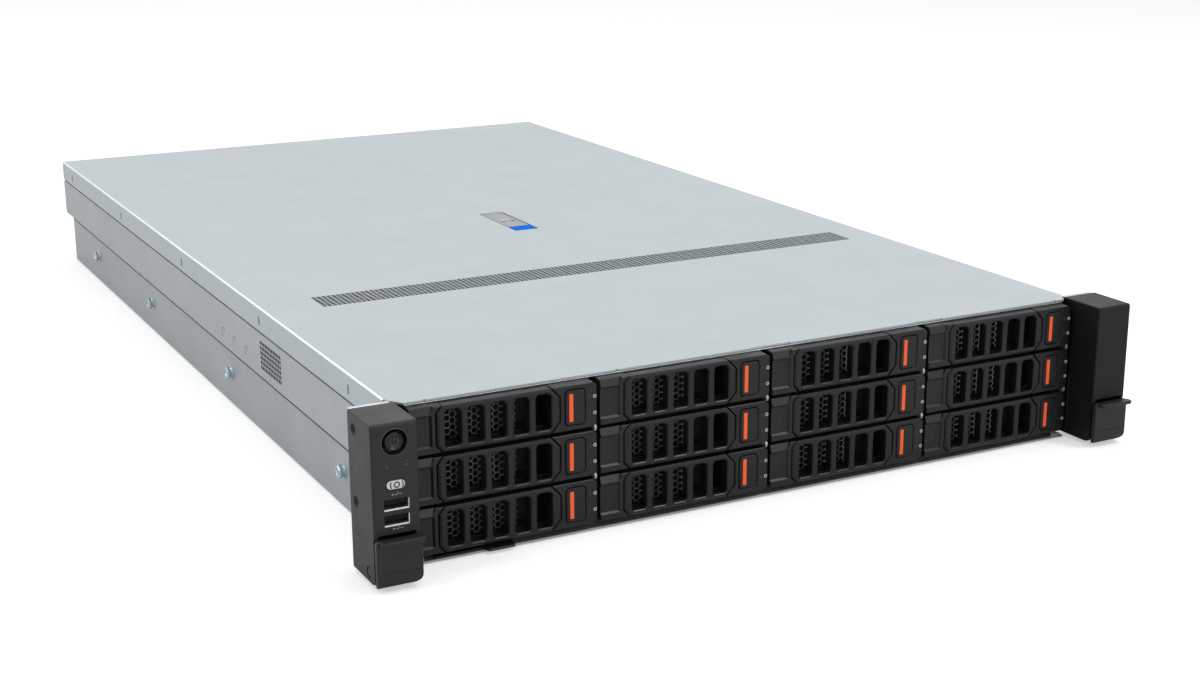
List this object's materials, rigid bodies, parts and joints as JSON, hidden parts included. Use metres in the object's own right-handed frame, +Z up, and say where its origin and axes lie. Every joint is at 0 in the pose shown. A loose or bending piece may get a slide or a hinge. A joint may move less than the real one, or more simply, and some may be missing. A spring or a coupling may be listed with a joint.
{
  "type": "2u rack server",
  "caption": "Two-unit rack server with front drive carriers on levers, latched rack ears, a lift-off cover, fan row, system board and rear plug-in power supplies.",
  "frame": {"origin": "middle of the chassis width, on its underside, in the plane where the ears meet the rack posts", "axes": "+X to the right and +Y to the rear as seen from the front, +Z up"},
  "size_m": [0.4826, 0.8214, 0.0862],
  "materials": {
    "zinc_sheet": "zinc-plated steel sheet, satin",
    "cover_sheet": "pale zinc-plated cover sheet, satin",
    "fastener_steel": "zinc-plated steel",
    "supply_case": "plain sheet case",
    "black_plastic": "fine satin black moulding",
    "button_plastic": "satin dark grey moulding",
    "silver_plastic": "silver-painted button",
    "latch_plastic": "satin dark grey moulding",
    "circuit_board": "green circuit board"
  },
  "bodies": {
    "chassis": {"chassis_tub": "zinc_sheet", "rear_panel": "zinc_sheet", "mounting_fasteners": "fastener_steel", "drive_cage": "zinc_sheet", "drive_backplane": "circuit_board", "left_ear": "black_plastic", "right_ear": "black_plastic", "fan_frames": "black_plastic", "system_board": "circuit_board"},
    "drive_carrier_01": {"drive_carrier_01": "black_plastic"},
    "carrier_lever_01": {"carrier_lever_01": "black_plastic"},
    "release_button_01": {"release_button_01": "button_plastic"},
    "drive_carrier_02": {"drive_carrier_02": "black_plastic"},
    "carrier_lever_02": {"carrier_lever_02": "black_plastic"},
    "release_button_02": {"release_button_02": "button_plastic"},
    "drive_carrier_03": {"drive_carrier_03": "black_plastic"},
    "carrier_lever_03": {"carrier_lever_03": "black_plastic"},
    "release_button_03": {"release_button_03": "button_plastic"},
    "drive_carrier_04": {"drive_carrier_04": "black_plastic"},
    "carrier_lever_04": {"carrier_lever_04": "black_plastic"},
    "release_button_04": {"release_button_04": "button_plastic"},
    "drive_carrier_05": {"drive_carrier_05": "black_plastic"},
    "carrier_lever_05": {"carrier_lever_05": "black_plastic"},
    "release_button_05": {"release_button_05": "button_plastic"},
    "drive_carrier_06": {"drive_carrier_06": "black_plastic"},
    "carrier_lever_06": {"carrier_lever_06": "black_plastic"},
    "release_button_06": {"release_button_06": "button_plastic"},
    "drive_carrier_07": {"drive_carrier_07": "black_plastic"},
    "carrier_lever_07": {"carrier_lever_07": "black_plastic"},
    "release_button_07": {"release_button_07": "button_plastic"},
    "drive_carrier_08": {"drive_carrier_08": "black_plastic"},
    "carrier_lever_08": {"carrier_lever_08": "black_plastic"},
    "release_button_08": {"release_button_08": "button_plastic"},
    "drive_carrier_09": {"drive_carrier_09": "black_plastic"},
    "carrier_lever_09": {"carrier_lever_09": "black_plastic"},
    "release_button_09": {"release_button_09": "button_plastic"},
    "drive_carrier_10": {"drive_carrier_10": "black_plastic"},
    "carrier_lever_10": {"carrier_lever_10": "black_plastic"},
    "release_button_10": {"release_button_10": "button_plastic"},
    "drive_carrier_11": {"drive_carrier_11": "black_plastic"},
    "carrier_lever_11": {"carrier_lever_11": "black_plastic"},
    "release_button_11": {"release_button_11": "button_plastic"},
    "drive_carrier_12": {"drive_carrier_12": "black_plastic"},
    "carrier_lever_12": {"carrier_lever_12": "black_plastic"},
    "release_button_12": {"release_button_12": "button_plastic"},
    "ear_latch_left": {"ear_latch_left": "black_plastic"},
    "ear_latch_right": {"ear_latch_right": "black_plastic"},
    "power_button": {"power_button": "button_plastic"},
    "locator_button": {"locator_button": "silver_plastic"},
    "pull_tab": {"pull_tab": "black_plastic"},
    "top_cover": {"top_cover": "cover_sheet"},
    "cover_latch": {"cover_latch": "latch_plastic"},
    "fan_rotor_1": {"fan_rotor_1": "black_plastic"},
    "fan_rotor_2": {"fan_rotor_2": "black_plastic"},
    "fan_rotor_3": {"fan_rotor_3": "black_plastic"},
    "fan_rotor_4": {"fan_rotor_4": "black_plastic"},
    "power_supply_1": {"power_supply_1": "supply_case"},
    "supply_tab_1": {"supply_tab_1": "latch_plastic"},
    "power_supply_2": {"power_supply_2": "supply_case"},
    "supply_tab_2": {"supply_tab_2": "latch_plastic"}
  },
  "joints": [
    {"name": "drive_carrier_01_slide", "type": "slide", "parent": "chassis", "child": "drive_carrier_01", "axis": [0, -1, 0], "range_m": [0, 0.15]},
    {"name": "carrier_lever_01_hinge", "type": "hinge", "parent": "drive_carrier_01", "child": "carrier_lever_01", "pos_m": [-0.1969, -0.0112, 0.0713], "axis": [0, 0, -1], "range_deg": [0, 55]},
    {"name": "release_button_01_press", "type": "slide", "parent": "drive_carrier_01", "child": "release_button_01", "axis": [0, 1, 0], "range_m": [0, 0.0018], "stiffness_N_per_m": 500},
    {"name": "drive_carrier_02_slide", "type": "slide", "parent": "chassis", "child": "drive_carrier_02", "axis": [0, -1, 0], "range_m": [0, 0.15]},
    {"name": "carrier_lever_02_hinge", "type": "hinge", "parent": "drive_carrier_02", "child": "carrier_lever_02", "pos_m": [-0.08985, -0.0112, 0.0713], "axis": [0, 0, -1], "range_deg": [0, 55]},
    {"name": "release_button_02_press", "type": "slide", "parent": "drive_carrier_02", "child": "release_button_02", "axis": [0, 1, 0], "range_m": [0, 0.0018], "stiffness_N_per_m": 500},
    {"name": "drive_carrier_03_slide", "type": "slide", "parent": "chassis", "child": "drive_carrier_03", "axis": [0, -1, 0], "range_m": [0, 0.15]},
    {"name": "carrier_lever_03_hinge", "type": "hinge", "parent": "drive_carrier_03", "child": "carrier_lever_03", "pos_m": [0.0172, -0.0112, 0.0713], "axis": [0, 0, -1], "range_deg": [0, 55]},
    {"name": "release_button_03_press", "type": "slide", "parent": "drive_carrier_03", "child": "release_button_03", "axis": [0, 1, 0], "range_m": [0, 0.0018], "stiffness_N_per_m": 500},
    {"name": "drive_carrier_04_slide", "type": "slide", "parent": "chassis", "child": "drive_carrier_04", "axis": [0, -1, 0], "range_m": [0, 0.15]},
    {"name": "carrier_lever_04_hinge", "type": "hinge", "parent": "drive_carrier_04", "child": "carrier_lever_04", "pos_m": [0.12425, -0.0112, 0.0713], "axis": [0, 0, -1], "range_deg": [0, 55]},
    {"name": "release_button_04_press", "type": "slide", "parent": "drive_carrier_04", "child": "release_button_04", "axis": [0, 1, 0], "range_m": [0, 0.0018], "stiffness_N_per_m": 500},
    {"name": "drive_carrier_05_slide", "type": "slide", "parent": "chassis", "child": "drive_carrier_05", "axis": [0, -1, 0], "range_m": [0, 0.15]},
    {"name": "carrier_lever_05_hinge", "type": "hinge", "parent": "drive_carrier_05", "child": "carrier_lever_05", "pos_m": [-0.1969, -0.0112, 0.0443], "axis": [0, 0, -1], "range_deg": [0, 55]},
    {"name": "release_button_05_press", "type": "slide", "parent": "drive_carrier_05", "child": "release_button_05", "axis": [0, 1, 0], "range_m": [0, 0.0018], "stiffness_N_per_m": 500},
    {"name": "drive_carrier_06_slide", "type": "slide", "parent": "chassis", "child": "drive_carrier_06", "axis": [0, -1, 0], "range_m": [0, 0.15]},
    {"name": "carrier_lever_06_hinge", "type": "hinge", "parent": "drive_carrier_06", "child": "carrier_lever_06", "pos_m": [-0.08985, -0.0112, 0.0443], "axis": [0, 0, -1], "range_deg": [0, 55]},
    {"name": "release_button_06_press", "type": "slide", "parent": "drive_carrier_06", "child": "release_button_06", "axis": [0, 1, 0], "range_m": [0, 0.0018], "stiffness_N_per_m": 500},
    {"name": "drive_carrier_07_slide", "type": "slide", "parent": "chassis", "child": "drive_carrier_07", "axis": [0, -1, 0], "range_m": [0, 0.15]},
    {"name": "carrier_lever_07_hinge", "type": "hinge", "parent": "drive_carrier_07", "child": "carrier_lever_07", "pos_m": [0.0172, -0.0112, 0.0443], "axis": [0, 0, -1], "range_deg": [0, 55]},
    {"name": "release_button_07_press", "type": "slide", "parent": "drive_carrier_07", "child": "release_button_07", "axis": [0, 1, 0], "range_m": [0, 0.0018], "stiffness_N_per_m": 500},
    {"name": "drive_carrier_08_slide", "type": "slide", "parent": "chassis", "child": "drive_carrier_08", "axis": [0, -1, 0], "range_m": [0, 0.15]},
    {"name": "carrier_lever_08_hinge", "type": "hinge", "parent": "drive_carrier_08", "child": "carrier_lever_08", "pos_m": [0.12425, -0.0112, 0.0443], "axis": [0, 0, -1], "range_deg": [0, 55]},
    {"name": "release_button_08_press", "type": "slide", "parent": "drive_carrier_08", "child": "release_button_08", "axis": [0, 1, 0], "range_m": [0, 0.0018], "stiffness_N_per_m": 500},
    {"name": "drive_carrier_09_slide", "type": "slide", "parent": "chassis", "child": "drive_carrier_09", "axis": [0, -1, 0], "range_m": [0, 0.15]},
    {"name": "carrier_lever_09_hinge", "type": "hinge", "parent": "drive_carrier_09", "child": "carrier_lever_09", "pos_m": [-0.1969, -0.0112, 0.0173], "axis": [0, 0, -1], "range_deg": [0, 55]},
    {"name": "release_button_09_press", "type": "slide", "parent": "drive_carrier_09", "child": "release_button_09", "axis": [0, 1, 0], "range_m": [0, 0.0018], "stiffness_N_per_m": 500},
    {"name": "drive_carrier_10_slide", "type": "slide", "parent": "chassis", "child": "drive_carrier_10", "axis": [0, -1, 0], "range_m": [0, 0.15]},
    {"name": "carrier_lever_10_hinge", "type": "hinge", "parent": "drive_carrier_10", "child": "carrier_lever_10", "pos_m": [-0.08985, -0.0112, 0.0173], "axis": [0, 0, -1], "range_deg": [0, 55]},
    {"name": "release_button_10_press", "type": "slide", "parent": "drive_carrier_10", "child": "release_button_10", "axis": [0, 1, 0], "range_m": [0, 0.0018], "stiffness_N_per_m": 500},
    {"name": "drive_carrier_11_slide", "type": "slide", "parent": "chassis", "child": "drive_carrier_11", "axis": [0, -1, 0], "range_m": [0, 0.15]},
    {"name": "carrier_lever_11_hinge", "type": "hinge", "parent": "drive_carrier_11", "child": "carrier_lever_11", "pos_m": [0.0172, -0.0112, 0.0173], "axis": [0, 0, -1], "range_deg": [0, 55]},
    {"name": "release_button_11_press", "type": "slide", "parent": "drive_carrier_11", "child": "release_button_11", "axis": [0, 1, 0], "range_m": [0, 0.0018], "stiffness_N_per_m": 500},
    {"name": "drive_carrier_12_slide", "type": "slide", "parent": "chassis", "child": "drive_carrier_12", "axis": [0, -1, 0], "range_m": [0, 0.15]},
    {"name": "carrier_lever_12_hinge", "type": "hinge", "parent": "drive_carrier_12", "child": "carrier_lever_12", "pos_m": [0.12425, -0.0112, 0.0173], "axis": [0, 0, -1], "range_deg": [0, 55]},
    {"name": "release_button_12_press", "type": "slide", "parent": "drive_carrier_12", "child": "release_button_12", "axis": [0, 1, 0], "range_m": [0, 0.0018], "stiffness_N_per_m": 500},
    {"name": "ear_latch_left_hinge", "type": "hinge", "parent": "chassis", "child": "ear_latch_left", "pos_m": [-0.2291, -0.0232, 0.0076], "axis": [1, 0, 0], "range_deg": [0, 40]},
    {"name": "ear_latch_right_hinge", "type": "hinge", "parent": "chassis", "child": "ear_latch_right", "pos_m": [0.2291, -0.0232, 0.0076], "axis": [1, 0, 0], "range_deg": [0, 40]},
    {"name": "power_button_press", "type": "slide", "parent": "chassis", "child": "power_button", "axis": [0, 1, 0], "range_m": [0, 0.0015], "stiffness_N_per_m": 600},
    {"name": "locator_button_press", "type": "slide", "parent": "chassis", "child": "locator_button", "axis": [0, 1, 0], "range_m": [0, 0.001], "stiffness_N_per_m": 600},
    {"name": "pull_tab_slide", "type": "slide", "parent": "chassis", "child": "pull_tab", "axis": [0, -1, 0], "range_m": [0, 0.045]},
    {"name": "top_cover_lift", "type": "slide", "parent": "chassis", "child": "top_cover", "axis": [0, 0, 1], "range_m": [0, 0.12]},
    {"name": "cover_latch_hinge", "type": "hinge", "parent": "top_cover", "child": "cover_latch", "pos_m": [0.013, 0.3855, 0.0838], "axis": [-1, 0, 0], "range_deg": [0, 75]},
    {"name": "fan_rotor_1_spin", "type": "hinge", "parent": "chassis", "child": "fan_rotor_1", "pos_m": [-0.156, 0.232, 0.0413], "axis": [0, 1, 0], "continuous": true},
    {"name": "fan_rotor_2_spin", "type": "hinge", "parent": "chassis", "child": "fan_rotor_2", "pos_m": [-0.052, 0.232, 0.0413], "axis": [0, 1, 0], "continuous": true},
    {"name": "fan_rotor_3_spin", "type": "hinge", "parent": "chassis", "child": "fan_rotor_3", "pos_m": [0.052, 0.232, 0.0413], "axis": [0, 1, 0], "continuous": true},
    {"name": "fan_rotor_4_spin", "type": "hinge", "parent": "chassis", "child": "fan_rotor_4", "pos_m": [0.156, 0.232, 0.0413], "axis": [0, 1, 0], "continuous": true},
    {"name": "power_supply_1_slide", "type": "slide", "parent": "chassis", "child": "power_supply_1", "axis": [0, 1, 0], "range_m": [0, 0.15]},
    {"name": "supply_tab_1_press", "type": "slide", "parent": "power_supply_1", "child": "supply_tab_1", "axis": [-1, 0, 0], "range_m": [0, 0.003], "stiffness_N_per_m": 800},
    {"name": "power_supply_2_slide", "type": "slide", "parent": "chassis", "child": "power_supply_2", "axis": [0, 1, 0], "range_m": [0, 0.15]},
    {"name": "supply_tab_2_press", "type": "slide", "parent": "power_supply_2", "child": "supply_tab_2", "axis": [-1, 0, 0], "range_m": [0, 0.003], "stiffness_N_per_m": 800}
  ]
}
